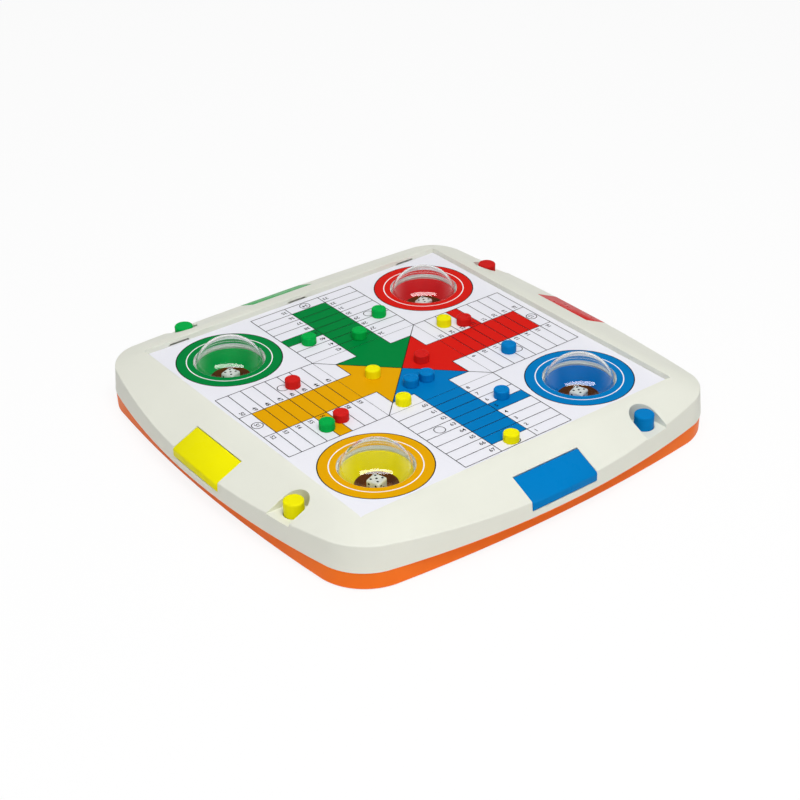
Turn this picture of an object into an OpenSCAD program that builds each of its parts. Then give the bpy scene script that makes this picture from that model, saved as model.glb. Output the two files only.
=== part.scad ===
// Parcheesi board: a two-part moulded case around a recessed playing sheet, with four dice domes,
// each tossed by its own push-button, four piece pockets with hinged lids and sixteen loose pieces.
// Millimetres, +Z up, origin on the floor under the middle. The blue player's side is -Y.

/* [Case] */
// Width of the shell across its bowed sides, at the parting line
case_w = 400; // [380:1:420]
// Plan width of the rim, from the edge of the shell to the window
rim_w = 46.5; // [45:0.25:48]
// Radius of the bow of each side of the shell
bow_r = 710; // [650:10:900]
// Radius of the shell's corners
corner_r = 44; // [40:1:48]
// Wall thickness of the shell
case_t = 2.4; // [2:0.1:2.8]
// Draft of the shell's side wall, degrees
wall_draft = 5; // [4:0.5:6]
// Flat land round the window
land_w = 7.5; // [6:0.5:8.5]
// Fall of the rim outside the land, degrees
rim_angle = 24.5; // [23:0.5:25.5]
// Height of the land over the playing sheet
rim_rise = 4.5; // [4:0.25:5]
// Rounding between the land and the slope
crest_r = 20; // [10:1:30]
// Rounding of the four hips of the rim
hip_r = 88; // [70:2:100]
// Wall round the window, under the land
skirt_t = 2.2; // [1.8:0.1:3]

/* [Tray] */
// How far the tray's sides stand in from the edge of the shell
tray_inset = 7; // [6:0.25:8]
// Radius of the bow of each side of the tray
tray_bow_r = 1290; // [1200:10:1400]
// Radius of the tray's corners
tray_corner_r = 46; // [44:1:50]
// Height of the tray
tray_h = 15; // [14:0.25:16]
// Wall and floor thickness of the tray
tray_t = 2.4; // [2:0.1:2.8]
// Thickness of the tray's top flange
flange_t = 1.8; // [1.4:0.1:2.2]
// Height of the locating ring that stands up inside the shell
ring_h = 2.2; // [1.5:0.1:2.4]

/* [Board] */
// Height of the playing surface over the floor
board_z = 42; // [41.5:0.25:43]
// Thickness of the printed sheet
sheet_t = 0.8; // [0.5:0.1:1.2]
// Thickness of the deck under the sheet
panel_t = 2.4; // [2:0.1:2.8]
// Width of the shell's ledge under the deck
ledge_w = 7; // [5:0.5:9]
// Length of each tongue slot
slot_w = 19; // [15:1:24]
// Distance of the outer slots from the corners of the window
slot_inset = 33.5; // [24:0.5:50]
// Height of the slots over the playing surface
slot_rise = 1.5; // [1:0.1:2.2]

/* [Dice] */
// Distance of each dome's axis from the two window walls
dome_inset = 51.2; // [50:0.2:53]
// Outer radius of the dome's sphere
dome_r = 30.5; // [29.5:0.25:31.5]
// Height of the dome over the playing surface
dome_rise = 19.5; // [18.5:0.25:20.5]
// Thickness of the dome
dome_t = 1.6; // [1.2:0.1:2]
// Depth of the bowl's moving floor under the playing surface
bowl_depth = 24; // [23.5:0.25:24.5]
// Height of the straight well in which the floor moves, over the floor
well_h = 7; // [6:0.25:8]
// Radius of the bowl's lower mouth
bowl_mouth_r = 17.2; // [16.5:0.1:18]
// Wall of the bowl
bowl_t = 1.8; // [1.4:0.1:2.2]
// Edge length of a die
die_w = 12; // [10:0.5:13]

/* [Buttons] */
// Distance of each button's axis from the edge of the shell
button_inset = 23.7; // [23.5:0.1:25]
// Button diameter
button_d = 15.8; // [15:0.1:16.5]
// Height of the button's top over the playing surface
button_rise = 1.1; // [0:0.1:2]
// Button travel
button_travel = 5; // [4:0.25:5.5]
// Depth of the notch floor under the playing surface
notch_depth = 10.8; // [10:0.1:11.5]
// Radius of the notch round the button
notch_r = 12; // [11:0.25:13]

/* [Levers] */
// Length of the lever from its pin to the button
outer_arm = 32; // [30:0.5:34]
// Height of the lever's pin
pin_z = 13; // [12.5:0.25:13.5]
// Pin diameter
pin_d = 3; // [2.5:0.1:3.4]
// Thickness of the lever's arms
arm_t = 5; // [4:0.25:5.5]

/* [Lids] */
// Width of a lid
lid_w = 63.5; // [60:0.5:66]
// Plan distance of the lid's back edge from the edge of the shell
lid_reach = 24; // [23:0.25:25]
// Thickness of the lid
lid_t = 2.4; // [2:0.1:2.8]
// Height of the lower edge of the lid's lip
lip_z = 21.8; // [21.4:0.1:23]

/* [Pieces] */
// Diameter of a playing piece
token_d = 12.75; // [12:0.25:14]
// Height of a playing piece
token_h = 7.5; // [6:0.25:8]

/* [Fasteners] */
// Height of the rubber feet under the tray
foot_rise = 1; // [0.8:0.1:2]
// Radius of a rubber foot
foot_r = 7; // [5:0.5:9]
// Shank diameter of the case screws
screw_d = 3; // [2.6:0.1:3.4]
// Shank diameter of the bowl screws
cup_screw_d = 2; // [1.8:0.1:2.2]

/* [Hidden] */

// Players in turn round the board, and the colour of each
BLUE = 0;
RED = 1;
GREEN = 2;
YELLOW = 3;
TINTS = [[0.01, 0.5, 0.79], [0.82, 0.14, 0.12], [0.0, 0.6, 0.28], [0.92, 0.88, 0.05]];

// Where each player's four pieces stand in play, as shares of half the window's width
PLACES = [
  [[0.56, -0.22], [0.22, -0.56], [0.03, -0.175], [-0.07, -0.17]],
  [[-0.56, 0.21], [0.57, 0.175], [0.13, -0.005], [-0.555, -0.22]],
  [[0.26, 0.555], [-0.23, 0.54], [0.025, 0.42], [-0.66, -0.245]],
  [[-0.17, 0.03], [-0.215, -0.295], [0.475, 0.235], [-0.015, -0.91]]
];

fine = 96;
eps = 0.01;
// Arcs that meet smoothly are let cross at this small angle
seam_angle = 3;
// Flats that make up the crest of the rim
crest_steps = 5;

// Clearances
gap = 0.35;
seat_gap = 0.05;
run_gap = 0.08;
ring_gap = 0.45;

// Places that follow the case and the window
window_w = case_w - 2 * rim_w;
tray_w = case_w - 2 * tray_inset;
slot_pitch = window_w / 2 - slot_inset;
dome_pos = window_w / 2 - dome_inset;
button_pos = case_w / 2 - button_inset;
lid_back = case_w / 2 - lid_reach;

// Heights
z_tray = foot_rise;
z_floor = z_tray + tray_t;
z_part = z_tray + tray_h;
z_rim = board_z + rim_rise;
z_sheet = board_z - sheet_t;
z_panel = z_sheet - panel_t;
ledge_t = 2.4;
z_ledge = z_panel - ledge_t;

// Rim
half_win = window_w / 2;
land_edge = half_win + land_w;
fall = tan(rim_angle);
reach = case_w / 2 + 12;
function rim_z(r) = z_rim - fall * (r - land_edge);

// Buttons and levers
button_r = button_d / 2;
bore_r = button_r + 0.5;
z_notch = board_z - notch_depth;
z_button = board_z + button_rise;
sleeve_r = bore_r + 2;
arm_top = pin_z + arm_t / 2;
z_collar = arm_top + 0.3;
collar_t = 2;
collar_r = button_r + 1.2;
z_sleeve = z_collar + collar_t + 0.3;
button_wall = 1.6;
button_cap = 2.5;
pivot_pos = button_pos - outer_arm;
inner_arm = pivot_pos - dome_pos;
fork_in = button_r - button_wall - 0.65;
fork_t = 3;
fork_drop = 1.8;
hub_w = 14;
hub_r = 4.2;
post_gap = 0.4;
post_t = 3;
pin_len = hub_w + 2 * (post_gap + post_t) + 0.8;
guide_r = 3.2;
z_stop = z_button - button_cap - button_travel - 0.4;
wire_r = 0.45;
coil_r = (guide_r + button_r - button_wall) / 2;
coil_turns = 8;

// Domes and bowls
z_dome = board_z + dome_rise - dome_r;
dome_rim_t = 1.6;
z_dome_rim = z_panel - dome_rim_t;
dome_base_r = sqrt(dome_r * dome_r - (z_panel - z_dome) * (z_panel - z_dome));
dome_rim_r = dome_base_r + 4;
hole_r = dome_base_r + 0.45;
cup_rim_t = 1.8;
cup_rim_r = dome_rim_r + 6.5;
cup_screw_r = dome_rim_r + 3.5;
cup_boss_r = 3;
z_plate = board_z - bowl_depth;
plate_t = 2;
plate_r = bowl_mouth_r - 1.7;
z_mouth = z_plate - plate_t;
z_well = z_plate + well_h;
bowl_top_r = dome_base_r - dome_t - 0.1;

// The lever's inner arm lies so low that it swings up clear of the bowl's lower edge
z_inner = z_mouth - 0.6 - (inner_arm - bowl_mouth_r) * button_travel / outer_arm;

// Lids: the hinge axis lies under the back edge of the lid, tangent to its top
barrel_r = 1.6;
lid_stub_r = 0.9;
lid_stub_l = 2.4;
along = [cos(rim_angle), -sin(rim_angle)];
outof = [sin(rim_angle), cos(rim_angle)];
lid_edge = [lid_back, rim_z(lid_back)];
hinge = lid_edge + along * barrel_r - outof * barrel_r;
lip_face = case_w / 2 - 0.7;
lip_t = 2;
pocket_w = lid_w - 4.5;
pocket_in = lid_back + 4.3;
pocket_out = lip_face - lip_t - gap - 2.3;
z_pocket = z_part + ring_h + 2.1;
pocket_t = 1.7;
block_half = lid_w / 2 + lid_stub_l + 2.4;
block_in = lid_back - 3;

// Fasteners: corner screws, and one more per side, opposite the button
corner_screw_inset = 39.5;
side_screw_inset = 28;
corner_screw = case_w / 2 - corner_screw_inset;
side_screw = [-case_w / 4, case_w / 2 - side_screw_inset];
post_r = 5.5;
boss_r = 4.2;
head_r = 3.4;
head_t = 2;
sink_h = 4;
thread_l = 9;
support_pos = window_w * 0.13;
support_r = 5;
foot_pos = case_w * 0.32;
foot_seat = 1;

// A solid with four bowed sides and rounded corners; prof lists [inset, height] from bottom to top
module bowed(prof, w, br, cr) {
  bc = br - w / 2;
  dc = sqrt(br * br + cr * cr - 2 * br * cr * cos(seam_angle));
  cc = (sqrt(2 * dc * dc - bc * bc) - bc) / 2;
  difference() {
    intersection() {
      bow_side(prof, br, bc);
      rotate([0, 0, 90]) bow_side(prof, br, bc);
      rotate([0, 0, 180]) bow_side(prof, br, bc);
      rotate([0, 0, 270]) bow_side(prof, br, bc);
    }
    for (a = [0 : 90 : 270]) rotate([0, 0, a]) bow_corner(prof, cr, bc, cc, dc);
  }
}

module bow_side(prof, br, bc) {
  n = len(prof) - 1;
  pts = concat([[0, prof[0][1]]], [for (p = prof) [br - p[0], p[1]]], [[0, prof[n][1]]]);
  translate([0, bc, 0]) rotate_extrude($fn = fine) polygon(pts);
}

// What a rounded corner takes off: a wedge between the two arcs, less the corner itself
module bow_corner(prof, cr, bc, cc, dc) {
  n = len(prof) - 1;
  lo = prof[0][1];
  hi = prof[n][1];
  d1 = [cc, -cc - bc] / dc;
  d2 = [cc + bc, -cc] / dc;
  far = 2 * cr;
  body = [for (p = prof) [cr - p[0], p[1]]];
  pts = concat([[0, lo - 2], [cr - prof[0][0], lo - 2]], body, [[cr - prof[n][0], hi + 2], [0, hi + 2]]);
  translate([cc, -cc, 0]) difference() {
    translate([0, 0, lo - 1])
      linear_extrude(height = hi - lo + 2) polygon([[0, 0], d1 * far, (d1 + d2) * far, d2 * far]);
    rotate_extrude($fn = fine) polygon(pts);
  }
}

// The hipped roof of the rim: a flat land that falls away on all four sides, over a crest of radius cr
module roof(edge, top, low, cr) {
  drop = fall * (reach - edge);
  start = edge - cr * tan(rim_angle / 2);
  crest = [for (k = [crest_steps : -1 : 0]) let (a = rim_angle * k / crest_steps)
    [start + cr * sin(a), top - cr * (1 - cos(a))]];
  mirrored = [for (k = [0 : crest_steps]) [-crest[crest_steps - k][0], crest[crest_steps - k][1]]];
  pts = concat([[-reach, low], [reach, low], [reach, top - drop]], crest, mirrored, [[-reach, top - drop]]);
  intersection() {
    rotate([90, 0, 0]) linear_extrude(height = 2 * reach, center = true) polygon(pts);
    rotate([90, 0, 90]) linear_extrude(height = 2 * reach, center = true) polygon(pts);
  }
}

// What rounding one hip to radius r takes off, round the axis of its outer face
module hip_cut(r) {
  tilt = acos(sqrt(fall * fall + 2) / (sqrt(2) * sqrt(1 + fall * fall)));
  slope = atan(fall / sqrt(2));
  depth = hip_r * cos(seam_angle) / cos(tilt);
  wide = hip_r + 8;
  translate([land_edge, -land_edge, z_rim]) rotate([0, 0, -45]) rotate([0, slope, 0])
    translate([-rim_w / 2, 0, -depth]) rotate([90, 0, 90]) linear_extrude(height = 2 * rim_w) difference() {
      polygon([[0, 0], [wide * sin(tilt), wide * cos(tilt)], [0, wide * 1.2],
        [-wide * sin(tilt), wide * cos(tilt)]]);
      circle(r = r, $fn = fine);
    }
}

module case_outside() {
  rise = z_rim - z_part + 1;
  difference() {
    intersection() {
      bowed([[0, z_part], [rise * tan(wall_draft), z_part + rise]], case_w, bow_r, corner_r);
      roof(land_edge, z_rim, z_part - 5, crest_r);
    }
    each_player() hip_cut(hip_r);
  }
}

module case_inside() {
  rise = z_rim - z_part;
  inset = case_t / cos(wall_draft);
  edge = land_edge - case_t * (1 / cos(rim_angle) - 1) / fall;
  difference() {
    intersection() {
      bowed([[inset - 2 * tan(wall_draft), z_part - 2], [inset + rise * tan(wall_draft), z_rim]],
        case_w, bow_r, corner_r);
      roof(edge, z_rim - case_t, z_part - 5, crest_r - case_t);
    }
    each_player() hip_cut(hip_r - case_t);
  }
}

module player(i) {
  rotate([0, 0, 90 * i]) children();
}

module each_player() {
  for (i = [0 : 3]) rotate([0, 0, 90 * i]) children();
}

module frame_box(outer, inner, z0, z1) {
  translate([0, 0, z0]) linear_extrude(height = z1 - z0) difference() {
    square(outer, center = true);
    square(inner, center = true);
  }
}

// The U shape of a button notch, r wide each way, open to the outside
module notch(r, z0, z1) {
  out = 2 * button_inset;
  translate([dome_pos, -button_pos, z0]) {
    cylinder(r = r, h = z1 - z0, $fn = fine);
    translate([-r, -out, 0]) cube([2 * r, out, z1 - z0]);
  }
}

module at_side_screws() {
  each_player() {
    translate([corner_screw, -corner_screw, 0]) children();
    translate([side_screw[0], -side_screw[1], 0]) children();
  }
}

// Turns a drawing of distance outward and height into a slab across the player's side
module across(w) {
  rotate([90, 0, -90]) linear_extrude(height = w, center = true) children();
}

// Room for the lid, its lip, its barrel and the two stubs, and the pocket under it
module lid_room() {
  back = hinge + outof * (barrel_r - lid_t - 0.15);
  rear = hinge - along * (barrel_r + gap);
  front = lip_face - lip_t - gap;
  out = reach + 10;
  across(lid_w + 2 * gap) polygon([rear + outof * 8, rear, back,
    [front, back[1] - fall * (front - back[0])], [front, lip_z - gap], [out, lip_z - gap], [out, z_rim + 6]]);
  across(lid_w + 2 * gap) translate(hinge) circle(r = barrel_r + gap, $fn = 48);
  across(lid_w + 2 * lid_stub_l + 0.6) translate(hinge) circle(r = lid_stub_r + run_gap, $fn = 36);
  translate([-pocket_w / 2, -pocket_out, z_pocket])
    cube([pocket_w, pocket_out - pocket_in, z_rim - z_pocket]);
}

module top_case() {
  color([0.89, 0.89, 0.86]) difference() {
    case_outside();
    difference() {
      case_inside();
      frame_box(window_w + 2 * skirt_t, window_w - 2 * ledge_w, z_ledge, z_rim + 1);
      each_player() {
        notch(notch_r + case_t, z_notch - case_t, z_rim);
        translate([dome_pos, -button_pos, z_sleeve])
          cylinder(r = sleeve_r, h = z_notch - z_sleeve, $fn = fine);
        translate([-block_half, -reach, z_pocket - pocket_t])
          cube([2 * block_half, reach - block_in, z_rim - z_pocket + pocket_t]);
      }
      at_side_screws() translate([0, 0, z_part]) cylinder(r = boss_r, h = z_rim - z_part, $fn = 48);
    }
    translate([-half_win, -half_win, z_panel]) cube([window_w, window_w, z_rim - z_panel + 2]);
    for (s = [-1, 1], i = [-1 : 1])
      translate([i * slot_pitch - slot_w / 2, s * half_win - skirt_t - 1, z_panel - 0.2])
        cube([slot_w, 2 * skirt_t + 2, slot_rise + board_z - z_panel + 0.2]);
    each_player() {
      notch(notch_r, z_notch, z_rim + 5);
      translate([dome_pos, -button_pos, z_sleeve - 1]) cylinder(r = bore_r, h = z_rim, $fn = fine);
      lid_room();
    }
    at_side_screws()
      translate([0, 0, z_part - 1]) cylinder(d = screw_d + 2 * seat_gap, h = thread_l + 2, $fn = 36);
  }
}

module base_tray() {
  color([0.91, 0.41, 0.12]) difference() {
    union() {
      difference() {
        union() {
          bowed([[1.8, z_tray], [0.7, z_tray + 0.5], [0.25, z_tray + 1.5], [0, z_part]],
            tray_w, tray_bow_r, tray_corner_r);
          bowed([[0.8, z_part - flange_t], [0.8, z_part]], case_w, bow_r, corner_r);
        }
        bowed([[tray_t + 0.6, z_floor], [tray_t, z_part + 1]], tray_w, tray_bow_r, tray_corner_r);
      }
      difference() {
        bowed([[case_t + ring_gap, z_part - eps], [case_t + ring_gap, z_part + ring_h]],
          case_w, bow_r, corner_r);
        bowed([[case_t + ring_gap + 1.8, z_part - 1], [case_t + ring_gap + 1.8, z_part + ring_h + 1]],
          case_w, bow_r, corner_r);
      }
      at_side_screws()
        translate([0, 0, z_floor - eps]) cylinder(r = post_r, h = z_part - z_floor + eps, $fn = 48);
      each_player() {
        translate([support_pos, support_pos, z_floor - eps])
          cylinder(r = support_r, h = z_panel - z_floor + eps, $fn = 48);
        translate([dome_pos, -button_pos, z_floor - eps])
          cylinder(r = guide_r, h = z_stop - z_floor + eps, $fn = 48);
        for (s = [-1, 1])
          translate([dome_pos + s * (hub_w / 2 + post_gap + post_t / 2), -pivot_pos, z_floor + 7 - eps])
            cube([post_t, 10, 14], center = true);
      }
    }
    at_side_screws() {
      translate([0, 0, z_tray - 1]) cylinder(d = screw_d + 0.6, h = z_part, $fn = 36);
      translate([0, 0, z_tray - 1]) cylinder(r = head_r + 0.4, h = sink_h + 1, $fn = 36);
    }
    each_player() {
      translate([foot_pos, foot_pos, z_tray - 1])
        cylinder(r = foot_r + seat_gap, h = foot_seat + 1, $fn = 48);
      translate([dome_pos, -pivot_pos, pin_z]) rotate([0, 90, 0])
        cylinder(d = pin_d + 2 * seat_gap, h = pin_len + 4, center = true, $fn = 36);
    }
  }
}

module at_cup_screws() {
  each_player() translate([dome_pos, -dome_pos, 0])
    for (a = [90 : 120 : 330]) rotate([0, 0, a]) translate([cup_screw_r, 0, 0]) children();
}

module board_panel() {
  side = window_w - 0.5;
  color([0.85, 0.85, 0.83]) difference() {
    union() {
      translate([-side / 2, -side / 2, z_panel]) cube([side, side, panel_t]);
      for (s = [-1, 1], i = [-1 : 1])
        translate([i * slot_pitch - slot_w / 2 + 0.5, s * half_win - 3, z_panel])
          cube([slot_w - 1, 6, panel_t]);
      at_cup_screws() translate([0, 0, z_dome_rim]) cylinder(r = cup_boss_r, h = dome_rim_t + eps, $fn = 36);
    }
    each_player()
      translate([dome_pos, -dome_pos, z_panel - 1]) cylinder(r = hole_r, h = panel_t + 2, $fn = fine);
    at_cup_screws()
      translate([0, 0, z_dome_rim - 1])
        cylinder(d = cup_screw_d + 2 * seat_gap, h = dome_rim_t + panel_t - 0.6 + 1, $fn = 30);
  }
}

module board_sheet() {
  side = window_w - 0.6;
  color([0.9, 0.9, 0.93]) difference() {
    translate([-side / 2, -side / 2, z_sheet]) cube([side, side, sheet_t]);
    each_player()
      translate([dome_pos, -dome_pos, z_sheet - 1]) cylinder(r = hole_r, h = sheet_t + 2, $fn = fine);
  }
}

module dome(i) {
  color([0.9, 0.93, 0.95, 0.3]) player(i) translate([dome_pos, -dome_pos, 0]) difference() {
    union() {
      intersection() {
        translate([0, 0, z_dome]) sphere(r = dome_r, $fn = fine);
        translate([0, 0, z_dome_rim]) cylinder(r = dome_r + 5, h = 2 * dome_r, $fn = fine);
      }
      translate([0, 0, z_dome_rim]) cylinder(r = dome_rim_r, h = dome_rim_t, $fn = fine);
    }
    translate([0, 0, z_dome]) sphere(r = dome_r - dome_t, $fn = fine);
  }
}

module cup(i) {
  low = z_dome_rim - cup_rim_t;
  lean = (bowl_top_r - bowl_mouth_r) / (z_dome_rim - z_well);
  thick = bowl_t * sqrt(1 + lean * lean);
  knee = z_well - (thick - bowl_t) / lean;
  color(TINTS[i] * 0.9) player(i) translate([dome_pos, -dome_pos, 0]) difference() {
    rotate_extrude($fn = fine) polygon([[bowl_mouth_r, z_mouth], [bowl_mouth_r, z_well],
      [bowl_top_r, z_dome_rim], [cup_rim_r, z_dome_rim], [cup_rim_r, low],
      [bowl_top_r + thick - lean * cup_rim_t, low], [bowl_mouth_r + bowl_t, knee],
      [bowl_mouth_r + bowl_t, z_mouth]]);
    for (a = [90 : 120 : 330]) rotate([0, 0, a]) translate([cup_screw_r, 0, low - 1])
      cylinder(d = cup_screw_d + 0.4, h = cup_rim_t + 2, $fn = 30);
  }
}

module die(i) {
  color([0.95, 0.95, 0.93]) player(i) translate([dome_pos, -dome_pos, z_plate + die_w / 2])
    rotate([0, 0, 20]) intersection() {
      cube(die_w, center = true);
      sphere(r = die_w * 0.73, $fn = fine);
    }
}

// Hollow push-button: a cap with a collar that the sleeve holds back
module button(i) {
  edge = 1;
  inside = button_r - button_wall;
  color(TINTS[i]) player(i) translate([dome_pos, -button_pos, 0]) rotate_extrude($fn = fine)
    polygon([[0, z_button], [button_r - edge, z_button], [button_r - edge * 0.3, z_button - edge * 0.3],
      [button_r, z_button - edge], [button_r, z_collar + collar_t], [collar_r, z_collar + collar_t],
      [collar_r, z_collar], [inside, z_collar], [inside, z_button - button_cap], [0, z_button - button_cap]]);
}

// One unbroken coil: rings of a round wire swept along a helix
module spring(i) {
  sides = 6;
  per_turn = 8;
  rings = coil_turns * per_turn;
  low = z_floor + wire_r;
  high = z_button - button_cap - wire_r;
  pitch_angle = atan((high - low) / coil_turns / (2 * PI * coil_r));
  pts = [for (k = [0 : rings], j = [0 : sides - 1])
    let (turn = k * 360 / per_turn, a = j * 360 / sides, up = wire_r * sin(a), rad = coil_r + wire_r * cos(a))
    [rad * cos(turn) + up * sin(pitch_angle) * sin(turn),
     rad * sin(turn) - up * sin(pitch_angle) * cos(turn),
     low + (high - low) * k / rings + up * cos(pitch_angle)]];
  walls = [for (k = [0 : rings - 1], j = [0 : sides - 1], half = [0, 1])
    let (a = k * sides + j, b = k * sides + (j + 1) % sides)
    half == 0 ? [a, a + sides, b + sides] : [a, b + sides, b]];
  ends = [[for (j = [0 : sides - 1]) j], [for (j = [sides - 1 : -1 : 0]) rings * sides + j]];
  color([0.7, 0.7, 0.72]) player(i) translate([dome_pos, -button_pos, 0])
    polyhedron(points = pts, faces = concat(walls, ends), convexity = 8);
}

// Rocker: low fork with two noses under the button's collar, hub on the pin, and the moving floor of
// the bowl at the inner end
module toss_lever(i) {
  wide = fork_in + fork_t;
  color(TINTS[i] * 0.9) player(i) translate([dome_pos, -pivot_pos, 0]) difference() {
    union() {
      translate([0, 0, pin_z]) rotate([0, 90, 0]) cylinder(r = hub_r, h = hub_w, center = true, $fn = 48);
      translate([-5, -outer_arm + 12, pin_z - arm_t / 2]) cube([10, outer_arm - 12, arm_t]);
      translate([-wide, -outer_arm + 8, pin_z - arm_t / 2]) cube([2 * wide, 5, arm_t - fork_drop]);
      for (s = [-1, 1]) translate([s * (fork_in + fork_t / 2), 0, pin_z]) {
        translate([-fork_t / 2, -outer_arm, -arm_t / 2]) cube([fork_t, 12, arm_t - fork_drop]);
        translate([0, -outer_arm, 0]) rotate([0, 90, 0])
          cylinder(d = arm_t, h = fork_t, center = true, $fn = 36);
      }
      translate([-4, -3, z_inner - arm_t]) cube([8, inner_arm + 3, arm_t]);
      translate([0, inner_arm, z_inner - arm_t])
        cylinder(r = 5.5, h = z_mouth - z_inner + arm_t + 1, $fn = 48);
      translate([0, inner_arm, z_mouth]) cylinder(r = plate_r, h = plate_t, $fn = fine);
    }
    translate([0, 0, pin_z]) rotate([0, 90, 0])
      cylinder(d = pin_d + 2 * run_gap, h = hub_w + 2, center = true, $fn = 36);
  }
}

module lever_pin(i) {
  color([0.75, 0.75, 0.77]) player(i) translate([dome_pos, -pivot_pos, pin_z]) rotate([0, 90, 0])
    cylinder(d = pin_d, h = pin_len, center = true, $fn = 36);
}

// Lid: a plate on the slope of the rim, its lip over the side wall, its round back edge on two stubs
module lid(i) {
  back = [for (a = [0 : 30 : 180]) hinge + barrel_r * (outof * cos(a) - along * sin(a))];
  low = hinge + outof * (barrel_r - lid_t);
  face = lip_face;
  under = [face - lip_t, low[1] - fall * (face - lip_t - low[0])];
  fold = [face, rim_z(face)];
  color(TINTS[i]) player(i) {
    across(lid_w) polygon(concat([fold - along * 1.2], back, [low + along * barrel_r, under],
      [[face - lip_t, lip_z], [face - 0.5, lip_z], [face, lip_z + 0.5], [face, fold[1] - 0.9]]));
    across(lid_w + 2 * lid_stub_l) translate(hinge) circle(r = lid_stub_r, $fn = 36);
  }
}

module token(i, k) {
  r = token_d / 2;
  e = 0.9;
  color(TINTS[i]) translate([PLACES[i][k][0] * half_win, PLACES[i][k][1] * half_win, board_z])
    rotate_extrude($fn = 64)
    polygon([[0, 0], [r - 0.5, 0], [r, 0.5], [r, token_h - e], [r - 0.27 * e, token_h - 0.27 * e],
      [r - e, token_h], [0, token_h]]);
}

module case_screws() {
  color([0.7, 0.7, 0.72]) at_side_screws() {
    translate([0, 0, z_tray + sink_h - head_t]) cylinder(r = head_r, h = head_t, $fn = 36);
    translate([0, 0, z_tray + sink_h - eps])
      cylinder(d = screw_d, h = z_part - z_tray - sink_h + thread_l, $fn = 36);
  }
}

module cup_screws() {
  low = z_dome_rim - cup_rim_t;
  color([0.7, 0.7, 0.72]) at_cup_screws() {
    translate([0, 0, low - 1.4]) cylinder(r = cup_screw_d * 0.9, h = 1.4, $fn = 30);
    translate([0, 0, low - eps])
      cylinder(d = cup_screw_d, h = cup_rim_t + dome_rim_t + panel_t - 1, $fn = 30);
  }
}

module feet() {
  color([0.15, 0.15, 0.15]) each_player() translate([foot_pos, foot_pos, 0])
    cylinder(r = foot_r, h = foot_rise + foot_seat, $fn = 48);
}

top_case();
base_tray();
board_panel();
board_sheet();
dome(BLUE);  // dome_blue
dome(RED);  // dome_red
dome(GREEN);  // dome_green
dome(YELLOW);  // dome_yellow
cup(BLUE);  // cup_blue
cup(RED);  // cup_red
cup(GREEN);  // cup_green
cup(YELLOW);  // cup_yellow
die(BLUE);  // die_blue
die(RED);  // die_red
die(GREEN);  // die_green
die(YELLOW);  // die_yellow
button(BLUE);  // button_blue
button(RED);  // button_red
button(GREEN);  // button_green
button(YELLOW);  // button_yellow
spring(BLUE);  // spring_blue
spring(RED);  // spring_red
spring(GREEN);  // spring_green
spring(YELLOW);  // spring_yellow
toss_lever(BLUE);  // toss_lever_blue
toss_lever(RED);  // toss_lever_red
toss_lever(GREEN);  // toss_lever_green
toss_lever(YELLOW);  // toss_lever_yellow
lever_pin(BLUE);  // lever_pin_blue
lever_pin(RED);  // lever_pin_red
lever_pin(GREEN);  // lever_pin_green
lever_pin(YELLOW);  // lever_pin_yellow
lid(BLUE);  // lid_blue
lid(RED);  // lid_red
lid(GREEN);  // lid_green
lid(YELLOW);  // lid_yellow
token(BLUE, 0);  // token_blue_1
token(BLUE, 1);  // token_blue_2
token(BLUE, 2);  // token_blue_3
token(BLUE, 3);  // token_blue_4
token(RED, 0);  // token_red_1
token(RED, 1);  // token_red_2
token(RED, 2);  // token_red_3
token(RED, 3);  // token_red_4
token(GREEN, 0);  // token_green_1
token(GREEN, 1);  // token_green_2
token(GREEN, 2);  // token_green_3
token(GREEN, 3);  // token_green_4
token(YELLOW, 0);  // token_yellow_1
token(YELLOW, 1);  // token_yellow_2
token(YELLOW, 2);  // token_yellow_3
token(YELLOW, 3);  // token_yellow_4
case_screws();
cup_screws();
feet();
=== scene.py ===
"""Looks of a parcheesi board with four dice domes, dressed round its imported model.

Metres, +Z up, origin on the floor under the middle. The blue player sits on the -Y side, and red, green
and yellow follow in quarter turns. Lengths are written in millimetres times MM, and creases in degrees.
"""

import logging
import math
from contextlib import contextmanager
from dataclasses import dataclass
from enum import Enum
from typing import Callable, Iterator, Sequence

import bmesh
import bpy
from mathutils import Matrix, Vector


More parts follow.
